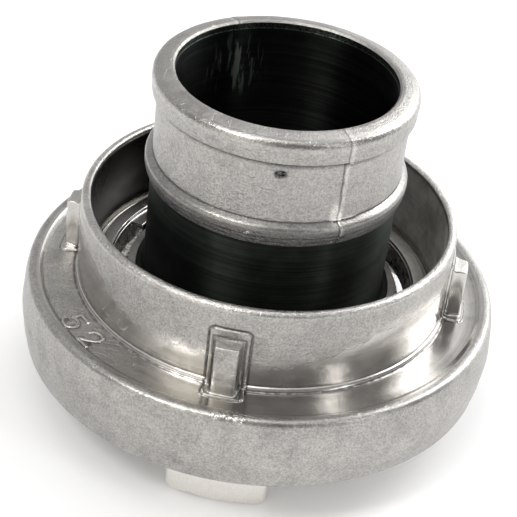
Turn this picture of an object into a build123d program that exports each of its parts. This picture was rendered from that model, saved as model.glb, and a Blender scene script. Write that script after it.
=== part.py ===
"""Claw hose coupling: a cast locking ring that swivels on a hose tail, with its front seal and spring ring.

Millimetres. +Z runs along the bore towards the hose end. The claw tips stand on z = 0.
"""

import os
from math import atan2, degrees, radians, sin, tan

from build123d import *

# Hose tail, radii built outwards from the waterway
BORE_R = 22.2
TAIL_WALL = 3.15
BEAD_RISE = 1.45
LIP_RISE = 1.25
MOUTH_STEP = 0.3
JOURNAL_PASS = 0.13
TAIL_FLANGE_STEP = 1.07

# Hose tail, lengths along the axis
TAIL_PROUD = 0.3
TAIL_FLANGE_LENGTH = 3.0
TUBE_LENGTH = 24.5
BEAD_LENGTH = 3.9
NECK_LENGTH = 13.5
LIP_LENGTH = 5.3
MOUTH_DEPTH = 2.6
BEAD_STEP_LENGTH = 0.9
STEP_SLOPE = 0.3

# Hose tail, rounded edges
TAIL_EDGE_ROUND = 0.4
STEP_ROUND = 0.2
TUBE_FOOT_ROUND = 0.6
BEAD_EDGE_ROUND = 0.3
BEAD_CROWN_ROUND = 1.6
BEAD_CROWN_RISE = 0.1
NECK_ROUND = 0.8
LIP_FOOT_SLOPE = 0.4
LIP_FOOT_ROUND = 0.35
LIP_ROUND = 1.7
MOUTH_ROUND = 0.5

# Face seal and its groove
SEAL_INNER_WALL = 1.6
SEAL_WIDTH = 2.6
SEAL_DEPTH = 3.2
SEAL_PROUD = 0.7
SEAL_LIP_BEVEL = 0.45
SEAL_LIP_ROUND = 0.2

# Spring ring that keeps the locking ring on the tail
SPRING_THICKNESS = 1.4
SPRING_GROOVE_DEPTH = 1.5
SPRING_RISE = 1.65
SPRING_GAP_DEG = 16.0
SPRING_SHOULDER = 1.0

# Claws of the locking ring
CLAW_HEIGHT = 11.5
CLAW_THICKNESS = 9.4
CLAW_WIDTH_DEG = 30.0
CLAW_HOOK = 3.2
CLAW_HOOK_HEIGHT = 4.4
CLAW_CORNER = 1.6
CLAW_EDGE = 0.5

# Claw windows and the ramps that the other half's hooks slide on
ENTRY_MARGIN_DEG = 2.0
RAMP_DEG = 45.0
WINDOW_PAST_ENTRY_DEG = 20.0
RAMP_START_THICKNESS = 5.3
RAMP_RISE = 1.3
TIP_GAP = 1.2
ROOF_WALL = 3.5

# Body of the locking ring
SLEEVE_WALL = 1.0
RIM_WALL = 6.5
SIDE_BARREL = 1.6
BARREL_ROUND = 26.0
SIDE_ROUND = 1.3
RIM_LAND_WIDTH = 2.3
RIM_LAND_ROUND = 0.5
DISH_DEPTH = 0.7
DISH_ROUND = 1.0
INNER_LAND_RISE = 1.3
INNER_LAND_WIDTH = 2.7
INNER_LAND_SETBACK = 0.5
INNER_LAND_FLARE = 0.35
RING_EDGE_ROUND = 0.3
WEB_DROP = 0.8
SPRING_RECESS = 2.2

# Collar
COLLAR_RISE = 17.65
COLLAR_WALL = 2.0
COLLAR_DRAFT = 0.8
COLLAR_CROWN_ROUND = 0.95
COLLAR_GROOVE_WIDTH = 0.95
COLLAR_GROOVE_DEPTH = 1.4
COLLAR_GROOVE_ROUND = 0.4
COLLAR_LEDGE_HEIGHT = 0.55
COLLAR_LEDGE_WIDTH = 0.55
COLLAR_LEDGE_SLOPE = 0.2
COLLAR_LEDGE_ROUND = 0.15
COLLAR_FOOT_ROUND = 0.8

# Spanner ribs
RIB_COUNT = 4
RIB_REACH = 3.5
RIB_HEIGHT = 12.3
RIB_WIDTH = 5.2
RIB_DRAFT = 1.1
RIB_ROUND = 0.55

# Raised size number on the dish
DIGIT_HEIGHT = 3.8
DIGIT_WIDTH = 3.2
DIGIT_STROKE = 0.7
DIGIT_RISE = 0.4
DIGIT_PITCH_DEG = 7.0
DIGIT_CENTRE_DEG = -136.0

# Clearances
RUN_GAP = 0.07
FREE_GAP = 0.3
SNUG_GAP = 0.05
AXIAL_GAP = 0.1
CLAW_GAP = 0.5
SLOT_GAP = 0.3

# Radii that follow
tube_r = BORE_R + TAIL_WALL
bead_r = tube_r + BEAD_RISE
lip_r = tube_r + LIP_RISE
journal_r = max(bead_r, lip_r) + JOURNAL_PASS
tail_flange_r = journal_r + TAIL_FLANGE_STEP
hub_bore_r = journal_r + RUN_GAP
counterbore_r = tail_flange_r + FREE_GAP
sleeve_r = counterbore_r + SLEEVE_WALL
hook_r = sleeve_r + CLAW_GAP
claw_inner_r = hook_r + CLAW_HOOK
claw_outer_r = claw_inner_r + CLAW_THICKNESS
ledge_r = claw_inner_r - SLOT_GAP
slot_r = claw_outer_r + SLOT_GAP
rim_r = slot_r + RIM_WALL
inner_land_r = ledge_r - INNER_LAND_SETBACK
seal_inner_r = BORE_R + SEAL_INNER_WALL
seal_outer_r = seal_inner_r + SEAL_WIDTH
groove_r = journal_r - SPRING_GROOVE_DEPTH
land_edge_r = inner_land_r + INNER_LAND_WIDTH
collar_foot_in_r = land_edge_r + INNER_LAND_FLARE + COLLAR_GROOVE_WIDTH
collar_in_r = collar_foot_in_r + COLLAR_DRAFT
collar_r = collar_in_r + COLLAR_WALL
collar_foot_r = collar_r + 2 * COLLAR_LEDGE_WIDTH
rim_land_r = rim_r - RIM_LAND_WIDTH
dish_edge_r = rim_land_r - DISH_DEPTH
rib_r = collar_r + RIB_REACH

# Heights that follow
face_z = CLAW_HEIGHT
roof_z = face_z + CLAW_HEIGHT + TIP_GAP
rim_z = roof_z + ROOF_WALL
dish_z = rim_z - DISH_DEPTH
inner_land_z = rim_z + INNER_LAND_RISE
web_z = inner_land_z - WEB_DROP
hub_z = web_z - SPRING_RECESS
collar_z = rim_z + COLLAR_RISE
tail_face_z = face_z - TAIL_PROUD
tail_flange_z = tail_face_z + TAIL_FLANGE_LENGTH
counterbore_z = tail_flange_z + FREE_GAP
seal_floor_z = tail_face_z + SEAL_DEPTH
spring_z = hub_z + AXIAL_GAP
spring_top_z = spring_z + SPRING_THICKNESS
journal_z = spring_top_z + SNUG_GAP + SPRING_SHOULDER
bead_z = journal_z + TUBE_LENGTH
neck_z = bead_z + BEAD_LENGTH
lip_z = neck_z + NECK_LENGTH
tail_z = lip_z + LIP_LENGTH

# Angles that follow, measured from +X. The claws are centred on -Y and +Y.
claw_half_deg = CLAW_WIDTH_DEG / 2
entry_half_deg = claw_half_deg + ENTRY_MARGIN_DEG
ramp_end_deg = entry_half_deg + RAMP_DEG
window_end_deg = entry_half_deg + WINDOW_PAST_ENTRY_DEG

# How far cutters and joined blocks run past each other
CUT_OVER = 1.0
TURN_OVER_DEG = 1.0


def outline(corners):
    """Closed face through (r, z, corner radius) points, each corner rounded by a tangent arc."""
    points = [Vector(r, z) for r, z, _ in corners]
    edges = []
    leaving = []
    arriving = []
    for i, (_, _, radius) in enumerate(corners):
        here = points[i]
        back = (points[i - 1] - here).normalized()
        ahead = (points[(i + 1) % len(points)] - here).normalized()
        if radius == 0:
            arriving.append(here)
            leaving.append(here)
            continue
        half = radians(back.get_angle(ahead)) / 2
        start = here + back * (radius / tan(half))
        end = here + ahead * (radius / tan(half))
        bisector = (back + ahead).normalized()
        middle = here + bisector * (radius / sin(half) - radius)
        edges.append(ThreePointArc(start, middle, end))
        arriving.append(start)
        leaving.append(end)
    for i in range(len(points)):
        edges.append(Line(leaving[i - 1], arriving[i]))
    return make_face(edges)


def turned(corners):
    """Solid of revolution about Z of a profile given in the (r, z) plane."""
    return revolve(Plane.XZ * outline(corners), Axis.Z)


def sector(inner_r, outer_r, start_deg, end_deg, low_z, high_z):
    """Block of a ring between two radii, two angles and two heights."""
    sweep_deg = end_deg - start_deg
    outer = CenterArc((0, 0), outer_r, start_deg, sweep_deg)
    inner = CenterArc((0, 0), inner_r, start_deg, sweep_deg)
    sides = [Line(inner @ 0, outer @ 0), Line(inner @ 1, outer @ 1)]
    face = make_face([outer, inner, *sides])
    return Pos(0, 0, low_z) * extrude(face, amount=high_z - low_z)


def ring_profile():
    """Section of the locking ring from the hub bore out to the rim and up the collar."""
    foot_z = inner_land_z - COLLAR_GROOVE_DEPTH
    mid_z = (face_z + rim_z) / 2
    ledge_top_z = rim_z + COLLAR_LEDGE_HEIGHT
    return [
        (counterbore_r, face_z, 0),
        (counterbore_r, counterbore_z, 0),
        (hub_bore_r, counterbore_z, 0),
        (hub_bore_r, hub_z, 0),
        (sleeve_r, hub_z, 0),
        (sleeve_r, web_z, 0),
        (inner_land_r, web_z, RING_EDGE_ROUND),
        (inner_land_r, inner_land_z, RING_EDGE_ROUND),
        (land_edge_r, inner_land_z, RING_EDGE_ROUND),
        (land_edge_r + INNER_LAND_FLARE, foot_z, RING_EDGE_ROUND),
        (collar_foot_in_r, foot_z, COLLAR_GROOVE_ROUND),
        (collar_in_r, collar_z, RING_EDGE_ROUND),
        (collar_r, collar_z, COLLAR_CROWN_ROUND),
        (collar_r, ledge_top_z, RING_EDGE_ROUND),
        (collar_r + COLLAR_LEDGE_WIDTH, ledge_top_z - COLLAR_LEDGE_SLOPE, COLLAR_LEDGE_ROUND),
        (collar_foot_r, dish_z, COLLAR_FOOT_ROUND),
        (dish_edge_r, dish_z, DISH_ROUND),
        (rim_land_r, rim_z, RIM_LAND_ROUND),
        (rim_r, rim_z, SIDE_ROUND),
        (rim_r + SIDE_BARREL, mid_z, BARREL_ROUND),
        (rim_r, face_z, 0),
    ]


def claw():
    """Claw on +X: a curved block with a hook that points to the axis at its tip."""
    root_z = face_z + CUT_OVER
    half = claw_half_deg
    block = sector(claw_inner_r, claw_outer_r, -half, half, 0, root_z)
    upright = block.edges().filter_by(Axis.Z).sort_by(SortBy.DISTANCE)[2:]
    block = fillet(upright, CLAW_CORNER)
    hook = sector(hook_r, claw_inner_r + CUT_OVER, -half, half, 0, CLAW_HOOK_HEIGHT)
    hook_ends = hook.edges().filter_by(Axis.Z).sort_by(SortBy.DISTANCE)[:2]
    hook = fillet(hook_ends, CLAW_HOOK / 2)
    whole = block + hook
    tip = whole.faces().sort_by(Axis.Z)[0]
    return chamfer(tip.edges(), CLAW_EDGE)


def claw_window():
    """Cutter on +X: the entry for the other half's claw, its locking slot and the hook track."""
    half = entry_half_deg
    start_deg = half - TURN_OVER_DEG
    below_z = face_z - CUT_OVER
    entry = sector(sleeve_r, slot_r, -half, half, below_z, roof_z)
    slot = sector(ledge_r, slot_r, start_deg, ramp_end_deg, below_z, roof_z)
    track = sector(sleeve_r, ledge_r + CUT_OVER, start_deg, ramp_end_deg, face_z, roof_z)
    opening = sector(sleeve_r, inner_land_r, -half, window_end_deg, roof_z - CUT_OVER, inner_land_z)
    return entry + slot + (track & above_ramp()) + opening


def above_ramp():
    """Space above the sloping back of the ledge, which lifts towards the locked end."""
    track_r = (sleeve_r + ledge_r) / 2
    mid_deg = entry_half_deg + RAMP_DEG / 2
    run = 2 * track_r * sin(radians(RAMP_DEG / 2))
    slope_deg = degrees(atan2(RAMP_RISE, run))
    mid_z = face_z + RAMP_START_THICKNESS + RAMP_RISE / 2
    size = 2 * slot_r
    space = Box(size, size, size, align=(Align.CENTER, Align.CENTER, Align.MIN))
    return Rot(0, 0, mid_deg) * Pos(track_r, 0, mid_z) * Rot(slope_deg, 0, 0) * space


def rib():
    """Spanner rib on +X, standing on the dish against the collar, with drafted sides."""
    root_r = collar_r - COLLAR_WALL / 2
    height = RIB_HEIGHT + DISH_DEPTH
    root_width = RIB_WIDTH + 2 * RIB_DRAFT
    centre_z = dish_z + height / 2 - CUT_OVER / 2
    tall = height + CUT_OVER
    root = Plane((root_r, 0, centre_z), x_dir=(0, 1, 0), z_dir=(1, 0, 0))
    tip = Plane((rib_r, 0, centre_z), x_dir=(0, 1, 0), z_dir=(1, 0, 0))
    root_face = root * Rectangle(root_width, tall + RIB_DRAFT)
    tip_face = tip * Rectangle(RIB_WIDTH, tall)
    block = loft([root_face.face(), tip_face.face()])
    outer = block.faces().sort_by(Axis.X)[-1]
    crown = block.edges().filter_by(Axis.Y).sort_by(Axis.Z)[-2:]
    edges = outer.edges().filter_by(Axis.Z) + crown.sort_by(Axis.X)[-1:]
    return fillet(edges, RIB_ROUND)


def digit_stroke(x1, y1, x2, y2):
    """Straight stroke of a digit, in digit widths and heights from its centre."""
    start = Vector(x1 * DIGIT_WIDTH, y1 * DIGIT_HEIGHT)
    end = Vector(x2 * DIGIT_WIDTH, y2 * DIGIT_HEIGHT)
    run = end - start
    turn = degrees(atan2(run.Y, run.X))
    middle = (start + end) / 2
    bar = Rectangle(run.length + DIGIT_STROKE, DIGIT_STROKE)
    return Pos(middle.X, middle.Y) * Rot(0, 0, turn) * bar


def number():
    """Raised figures 5 and 2 on the dish, read from outside with their feet towards the rim."""
    five = [
        (0.36, 0.42, -0.34, 0.42),
        (-0.34, 0.42, -0.36, 0.08),
        (-0.36, 0.08, 0.2, 0.1),
        (0.2, 0.1, 0.36, -0.14),
        (0.36, -0.14, 0.2, -0.4),
        (0.2, -0.4, -0.36, -0.38),
    ]
    two = [
        (-0.34, 0.26, -0.16, 0.42),
        (-0.16, 0.42, 0.2, 0.42),
        (0.2, 0.42, 0.34, 0.2),
        (0.34, 0.2, -0.36, -0.42),
        (-0.36, -0.42, 0.38, -0.42),
    ]
    digit_r = (collar_foot_r + dish_edge_r) / 2
    solids = []
    for place, strokes in ((-0.5, five), (0.5, two)):
        turn = DIGIT_CENTRE_DEG + place * DIGIT_PITCH_DEG
        flat = Sketch() + [digit_stroke(*stroke) for stroke in strokes]
        raised = extrude(flat, amount=DIGIT_RISE + CUT_OVER / 2)
        seat = Rot(0, 0, turn) * Pos(digit_r, 0, dish_z - CUT_OVER / 2) * Rot(0, 0, 90)
        solids.append(seat * raised)
    return solids


def lock_ring():
    """Locking ring: one casting with hub, webs, claws, ramps, rim, collar and spanner ribs."""
    body = turned(ring_profile())
    for turn in (0, 180):
        body -= Rot(0, 0, turn) * claw_window()
        body += Rot(0, 0, turn + 90) * claw()
    for i in range(RIB_COUNT):
        body += Rot(0, 0, i * 360 / RIB_COUNT) * rib()
    for digit in number():
        body += digit
    return body


def hose_tail():
    """Hose tail: one casting with front flange, journal, turned tube, bead, neck and lip."""
    bead_crown_z = bead_z + 0.45 * BEAD_LENGTH
    step_r = tube_r + BEAD_RISE / 2
    step_z = bead_z - BEAD_STEP_LENGTH
    mouth_r = BORE_R + MOUTH_STEP
    mouth_z = tail_z - MOUTH_DEPTH
    profile = [
        (BORE_R, tail_face_z, TAIL_EDGE_ROUND),
        (seal_inner_r, tail_face_z, 0),
        (seal_inner_r, seal_floor_z, 0),
        (seal_outer_r, seal_floor_z, 0),
        (seal_outer_r, tail_face_z, 0),
        (tail_flange_r, tail_face_z, TAIL_EDGE_ROUND),
        (tail_flange_r, tail_flange_z, STEP_ROUND),
        (journal_r, tail_flange_z, 0),
        (journal_r, spring_z - SNUG_GAP, 0),
        (groove_r, spring_z - SNUG_GAP, 0),
        (groove_r, spring_top_z + SNUG_GAP, 0),
        (journal_r, spring_top_z + SNUG_GAP, 0),
        (journal_r, journal_z, TAIL_EDGE_ROUND),
        (tube_r, journal_z, TUBE_FOOT_ROUND),
        (tube_r, step_z - STEP_SLOPE, STEP_ROUND),
        (step_r, step_z, STEP_ROUND),
        (step_r, bead_z, STEP_ROUND),
        (bead_r - BEAD_CROWN_RISE, bead_z, BEAD_EDGE_ROUND),
        (bead_r, bead_crown_z, BEAD_CROWN_ROUND),
        (tube_r, neck_z, NECK_ROUND),
        (tube_r, lip_z - LIP_FOOT_SLOPE, TAIL_EDGE_ROUND),
        (tube_r + 0.7 * LIP_RISE, lip_z, LIP_FOOT_ROUND),
        (lip_r, tail_z, LIP_ROUND),
        (mouth_r, tail_z, MOUTH_ROUND),
        (mouth_r, mouth_z, 0),
        (BORE_R, mouth_z - MOUTH_STEP, 0),
    ]
    return turned(profile)


def face_seal():
    """Rubber ring seated in the groove of the tail's front face, standing proud of it."""
    inner_r = seal_inner_r + SNUG_GAP
    outer_r = seal_outer_r - SNUG_GAP
    low_z = tail_face_z - SEAL_PROUD
    return turned([
        (inner_r, seal_floor_z, 0),
        (outer_r, seal_floor_z, 0),
        (outer_r, tail_face_z, 0),
        (outer_r - SEAL_LIP_BEVEL, low_z, SEAL_LIP_ROUND),
        (inner_r + SEAL_LIP_BEVEL, low_z, SEAL_LIP_ROUND),
        (inner_r, tail_face_z, 0),
    ])


def retaining_ring():
    """Split spring ring in the tail's groove, just behind the hub of the locking ring."""
    inner_r = groove_r + SNUG_GAP
    outer_r = journal_r + SPRING_RISE
    half_gap = SPRING_GAP_DEG / 2
    return sector(inner_r, outer_r, half_gap - 90, 270 - half_gap, spring_z, spring_top_z)


os.makedirs("parts", exist_ok=True)
export_step(lock_ring(), "parts/lock_ring.step")
export_step(hose_tail(), "parts/hose_tail.step")
export_step(face_seal(), "parts/face_seal.step")
export_step(retaining_ring(), "parts/retaining_ring.step")
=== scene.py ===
"""Claw hose coupling: the cast locking ring, the cast hose tail, the face seal and the spring ring, on a stage."""

import math

import bmesh
import bpy
import numpy as np
from mathutils import Matrix, Vector, noise


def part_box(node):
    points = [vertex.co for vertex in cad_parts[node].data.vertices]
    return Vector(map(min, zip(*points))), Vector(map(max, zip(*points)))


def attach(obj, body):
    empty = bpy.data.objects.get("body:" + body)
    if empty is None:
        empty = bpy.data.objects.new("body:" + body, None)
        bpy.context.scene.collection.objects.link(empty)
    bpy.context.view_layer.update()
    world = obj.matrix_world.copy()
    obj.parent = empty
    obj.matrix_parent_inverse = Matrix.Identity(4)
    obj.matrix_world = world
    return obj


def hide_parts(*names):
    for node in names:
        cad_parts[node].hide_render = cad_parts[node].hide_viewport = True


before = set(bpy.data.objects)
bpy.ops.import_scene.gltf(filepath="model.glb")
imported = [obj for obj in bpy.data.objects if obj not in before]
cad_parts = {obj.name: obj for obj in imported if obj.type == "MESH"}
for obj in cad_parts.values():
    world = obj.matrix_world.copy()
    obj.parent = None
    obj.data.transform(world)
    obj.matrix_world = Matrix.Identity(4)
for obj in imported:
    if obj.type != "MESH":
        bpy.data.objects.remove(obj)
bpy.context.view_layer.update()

bl_info = {
    "name": "Claw hose coupling",
    "version": (1, 0, 0),
    "blender": (4, 5, 0),
    "location": "View3D > Sidebar > Coupling",
    "description": "Builds a cast claw coupling for a fire hose, with its finishes and a plain studio",
    "category": "Object",
}

MM = 0.001
SHARP_ANGLE = math.radians(38)

# Heights in millimetres of the collar's top and of the tail's two ends
COLLAR_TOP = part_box("lock_ring")[1].z / MM
TAIL_FACE, TAIL_TOP = (corner.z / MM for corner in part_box("hose_tail"))


# ---------------------------------------------------------------- sizes and colours that can be changed


class CouplingRingSizes(bpy.types.PropertyGroup):
    """Sizes of the locking ring"""

    collar_radius: bpy.props.FloatProperty(
        name="Collar radius", description="Outer radius of the collar", default=0.039, unit="LENGTH")
    rim_radius: bpy.props.FloatProperty(
        name="Rim radius", description="Radius of the rim at its lower edge", default=0.0492, unit="LENGTH")
    rib_reach: bpy.props.FloatProperty(
        name="Rib reach", description="How far a spanner rib stands out of the collar", default=0.0035, unit="LENGTH")
    rib_width: bpy.props.FloatProperty(
        name="Rib width", description="Width of a spanner rib's outer face", default=0.0045, unit="LENGTH")
    casting_wave: bpy.props.FloatProperty(
        name="Casting wave", description="Unevenness of the cast skin", default=0.00004, unit="LENGTH")


class CouplingTailSizes(bpy.types.PropertyGroup):
    """Sizes of the hose tail"""

    bore_radius: bpy.props.FloatProperty(
        name="Bore radius", description="Radius of the waterway", default=0.0222, unit="LENGTH")
    tube_radius: bpy.props.FloatProperty(
        name="Tube radius", description="Radius of the turned tube", default=0.02535, unit="LENGTH")
    seam_height: bpy.props.FloatProperty(
        name="Parting seam height", description="Height of the casting's parting seam", default=0.0004, unit="LENGTH")
    casting_wave: bpy.props.FloatProperty(
        name="Casting wave", description="Unevenness of the cast skin", default=0.00005, unit="LENGTH")


class CouplingFinish(bpy.types.PropertyGroup):
    """Colours of the finishes"""

    cast_colour: bpy.props.FloatVectorProperty(
        name="Cast skin", description="Colour of the cast aluminium", subtype="COLOR", size=3,
        default=(0.415, 0.403, 0.386), min=0.0, max=1.0)
    # The near-black of the turned tube and bore is painted shade: it stands in for the dark reflections of the shaded
    # collar in the turned metal.
    turned_colour: bpy.props.FloatVectorProperty(
        name="Turned tube", description="Colour of the dark turned tube and bore", subtype="COLOR", size=3,
        default=(0.026, 0.031, 0.027), min=0.0, max=1.0)
    rubber_colour: bpy.props.FloatVectorProperty(
        name="Seal rubber", description="Colour of the face seal", subtype="COLOR", size=3,
        default=(0.018, 0.018, 0.017), min=0.0, max=1.0)
    spring_colour: bpy.props.FloatVectorProperty(
        name="Spring steel", description="Colour of the spring ring", subtype="COLOR", size=3,
        default=(0.36, 0.35, 0.33), min=0.0, max=1.0)


class CouplingStage(bpy.types.PropertyGroup):
    """Studio around the coupling"""

    key_strength: bpy.props.FloatProperty(
        name="Key lamp", description="Power of the large lamp", default=2.8, unit="POWER")
    world_strength: bpy.props.FloatProperty(
        name="Room light", description="Strength of the light from all round", default=1.0)
    focal_length: bpy.props.FloatProperty(
        name="Focal length", description="Focal length of the camera in millimetres", default=111.4)


# ---------------------------------------------------------------- outlines and meshes


def arc_points(back, here, ahead, radius, steps):
    """Points of the tangent arc that rounds one corner of an outline."""
    to_back = (back - here).normalized()
    to_ahead = (ahead - here).normalized()
    half = to_back.angle(to_ahead) / 2
    reach = radius / math.tan(half)
    centre = here + (to_back + to_ahead).normalized() * (radius / math.sin(half))
    start = here + to_back * reach - centre
    end = here + to_ahead * reach - centre
    turn = start.angle_signed(end)
    return [centre + start @ Matrix.Rotation(turn * i / steps, 2) for i in range(steps + 1)]


def rounded_path(corners, closed, step):
    """Points along an outline of (r, z, corner radius) in millimetres, its straight parts cut to step(middle)."""
    here = [Vector(c[:2]) for c in corners]
    count = len(corners)
    runs = []
    for i, (_, _, radius) in enumerate(corners):
        if radius == 0 or (not closed and i in (0, count - 1)):
            runs.append([here[i]])
            continue
        back, ahead = here[i - 1], here[(i + 1) % count]
        turn = math.pi - (back - here[i]).angle(ahead - here[i])
        runs.append(arc_points(back, here[i], ahead, radius, max(2, round(turn / math.radians(16)))))
    path = []
    for i, run in enumerate(runs):
        path.extend(run)
        if not closed and i == count - 1:
            break
        nxt = runs[(i + 1) % count][0]
        gap = (nxt - run[-1]).length
        cuts = int(gap / step(run[-1].lerp(nxt, 0.5)))
        path.extend(run[-1].lerp(nxt, (k + 1) / (cuts + 1)) for k in range(cuts))
    return np.array([tuple(p) for p in path])


def spread_path(corners, count):
    """The given number of points, evenly spaced, along an open rounded outline."""
    path = rounded_path(corners, False, lambda middle: 0.3)
    along = np.concatenate(([0], np.cumsum(np.hypot(*np.diff(path, axis=0).T))))
    at = np.linspace(0, along[-1], count)
    return np.column_stack([np.interp(at, along, path[:, k]) for k in (0, 1)])


def grid_mesh(name, rows, angles):
    """Closed lathe mesh from an array of outline points, one outline for each angle, in millimetres."""
    columns, points, _ = rows.shape
    x = rows[:, :, 0] * np.cos(angles)[:, None]
    y = rows[:, :, 0] * np.sin(angles)[:, None]
    verts = np.stack([x, y, rows[:, :, 1]], axis=2).reshape(-1, 3) * MM
    j, i = np.meshgrid(np.arange(columns), np.arange(points), indexing="ij")
    j2, i2 = (j + 1) % columns, (i + 1) % points
    quads = np.stack([j * points + i, j * points + i2, j2 * points + i2, j2 * points + i], axis=2).reshape(-1, 4)
    return mesh_from(name, verts, quads.tolist())


def mesh_from(name, verts, faces):
    """Mesh of a name from points in metres, with all its faces turned outward."""
    mesh = bpy.data.meshes.new(name)
    mesh.from_pydata(np.asarray(verts).tolist(), [], faces)
    mesh.validate()
    work = bmesh.new()
    work.from_mesh(mesh)
    bmesh.ops.recalc_face_normals(work, faces=work.faces)
    work.to_mesh(mesh)
    work.free()
    return mesh


def stack_faces(loops, size):
    """Faces between loops of points that follow one another, and the two faces that close the ends."""
    sides = [(i * size + k, i * size + (k + 1) % size, (i + 1) * size + (k + 1) % size, (i + 1) * size + k)
             for i in range(loops - 1) for k in range(size)]
    return sides, [tuple(range(size)), tuple(range((loops - 1) * size, loops * size))]


def polar(r, turn, z):
    """Point at a radius, an angle in radians and a height."""
    return r * math.cos(turn), r * math.sin(turn), z


def add_piece(name, mesh):
    piece = bpy.data.objects.new(name, mesh)
    bpy.context.scene.collection.objects.link(piece)
    return piece


def smooth(mesh):
    mesh.polygons.foreach_set("use_smooth", [True] * len(mesh.polygons))
    mesh.set_sharp_from_angle(angle=SHARP_ANGLE)


def sector_mesh(name, inner_r, outer_r, start_deg, end_deg, low, high, lean=0.0):
    """Closed block of a ring; low and high are heights or functions of radius and angle in degrees.

    Its outer wall leans in by the given distance towards its lower edge."""
    low_at = low if callable(low) else (lambda r, a: low)
    high_at = high if callable(high) else (lambda r, a: high)
    steps = max(2, round((end_deg - start_deg) / 1.5))
    verts = []
    for k in range(steps + 1):
        a = start_deg + (end_deg - start_deg) * k / steps
        c, s = math.cos(math.radians(a)), math.sin(math.radians(a))
        for r, z in ((inner_r, low_at(inner_r, a)), (outer_r - lean, low_at(outer_r, a)),
                     (outer_r, high_at(outer_r, a)), (inner_r, high_at(inner_r, a))):
            verts.append((r * c * MM, r * s * MM, z * MM))
    faces = [(0, 1, 2, 3), (4 * steps + 3, 4 * steps + 2, 4 * steps + 1, 4 * steps)]
    for k in range(steps):
        b = 4 * k
        faces += [(b + i, b + (i + 1) % 4, b + 4 + (i + 1) % 4, b + 4 + i) for i in range(4)]
    return mesh_from(name, verts, faces)


def cut_or_join(piece, tool_mesh, operation):
    """Cuts a mesh away from the piece, or joins it on, and leaves the result in the piece."""
    tool = add_piece("tool", tool_mesh)
    step = piece.modifiers.new(operation, "BOOLEAN")
    step.operation = operation
    step.solver = "MANIFOLD"
    step.object = tool
    graph = bpy.context.evaluated_depsgraph_get()
    result = bpy.data.meshes.new_from_object(piece.evaluated_get(graph))
    if len(result.polygons) < len(piece.data.polygons) // 2:
        raise RuntimeError("the " + operation.lower() + " failed on " + piece.name)
    piece.modifiers.clear()
    old = piece.data
    piece.data = result
    bpy.data.meshes.remove(old)
    bpy.data.objects.remove(tool)
    bpy.data.meshes.remove(tool_mesh)


def mesh_places(mesh):
    """Points of a mesh in millimetres, with their radii, their angles in degrees and their heights."""
    co = np.zeros(len(mesh.vertices) * 3)
    mesh.vertices.foreach_get("co", co)
    p = co.reshape(-1, 3) / MM
    return p, np.hypot(p[:, 0], p[:, 1]), np.degrees(np.arctan2(p[:, 1], p[:, 0])), p[:, 2]


def wave(points_mm, size, seed):
    """Smooth noise from -1 to 1 at points in millimetres."""
    offset = Vector((seed * 17.3, seed * 5.1, seed * 9.7))
    return np.array([noise.noise(Vector(p) / size + offset) for p in points_mm])


def displace(mesh, height):
    """Moves each vertex along its normal by a height in millimetres."""
    count = len(mesh.vertices)
    co = np.zeros(count * 3)
    normal = np.zeros(count * 3)
    mesh.vertices.foreach_get("co", co)
    mesh.vertices.foreach_get("normal", normal)
    co = co.reshape(-1, 3) + normal.reshape(-1, 3) * (height * MM)[:, None]
    mesh.vertices.foreach_set("co", co.ravel())
    mesh.update()


def bump_at(value, centre, half_width):
    """Rounded bump from 1 at the centre to 0 at the half width."""
    t = np.clip(np.abs(value - centre) / half_width, 0, 1)
    return (1 - t * t) ** 2


def angle_from(angles_deg, centre):
    """Angles in degrees from a centre, between -180 and 180."""
    return (angles_deg - centre + 180) % 360 - 180


# ---------------------------------------------------------------- locking ring

# Heights and radii in millimetres, and angles in degrees from +X
FACE_Z = 11.5
ROOF_Z = 24.2
RIM_Z = 27.7
DISH_Z = 27.0
LAND_Z = 29.0
WEB_Z = 28.2
HUB_Z = 26.0
HUB_BORE_R = 27.0
COUNTERBORE_R = 28.3
COUNTERBORE_Z = 14.5
SLEEVE_R = 29.3
LEDGE_R = 32.7
SLOT_R = 42.7
LAND_R = 32.2
HOOK_R = 29.8
CLAW_INNER_R = 33.0
CLAW_OUTER_R = 42.4
ENTRY_HALF_DEG = 17.0
RAMP_END_DEG = 62.0
RAMP_MIDDLE_Z, RAMP_RISE = FACE_Z + 5.95, 1.3
WINDOW_END_DEG = 37.0
WINDOW_LEAN = 1.2
CLAW_HALF_DEG = 15.0
CLAW_ROUND = 2.0
CLAW_FACE_ROUND = 0.55
WALL_TOP_Z = 42.0
WALL_FOOT_Z = 28.7
DISH_END_R = 44.0
RIB_TOP_Z = 38.4
RIB_DEG = (0.0, 90.0, 180.0, 268.8)
# Radius at which widths across a rib are turned into angles
RIB_MIDDLE_R = 41.0
# Share of a spanner rib over its plinth at distances beyond half the rib's width
RIB_FLANK = ((-0.25, 1.0), (-0.1, 0.985), (0.0, 0.94), (0.08, 0.86), (0.28, 0.56), (0.48, 0.33), (0.68, 0.15),
             (0.88, 0.03), (1.0, 0.0))
# The low plinth round a rib, and its share at distances beyond half the rib's width
PLINTH_RISE = 0.42
PLINTH_TOP_Z = 40.6
PLINTH_ROUND = 1.3
PLINTH_EDGE = ((1.72, 1.0), (1.84, 0.75), (1.96, 0.2), (2.06, 0.0))
PLINTH_COLUMNS = (1.2, 1.46)
TOE_REACH = 0.4
TOE_SLOPE = 0.5
# Numbers of points on the five parts of the collar's outside
SECTION_POINTS = (14, 16, 12, 16, 10)
# The bruised stretch of the rim, a pore in its side and a rough patch beside them
BRUISE_DEG, BRUISE_R, BRUISE_Z = -87.6, 48.6, 27.4
PORE_DEG, PORE_Z = -107.4, 21.0
PATCH_DEG, PATCH_Z = -46.5, 23.5
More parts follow.
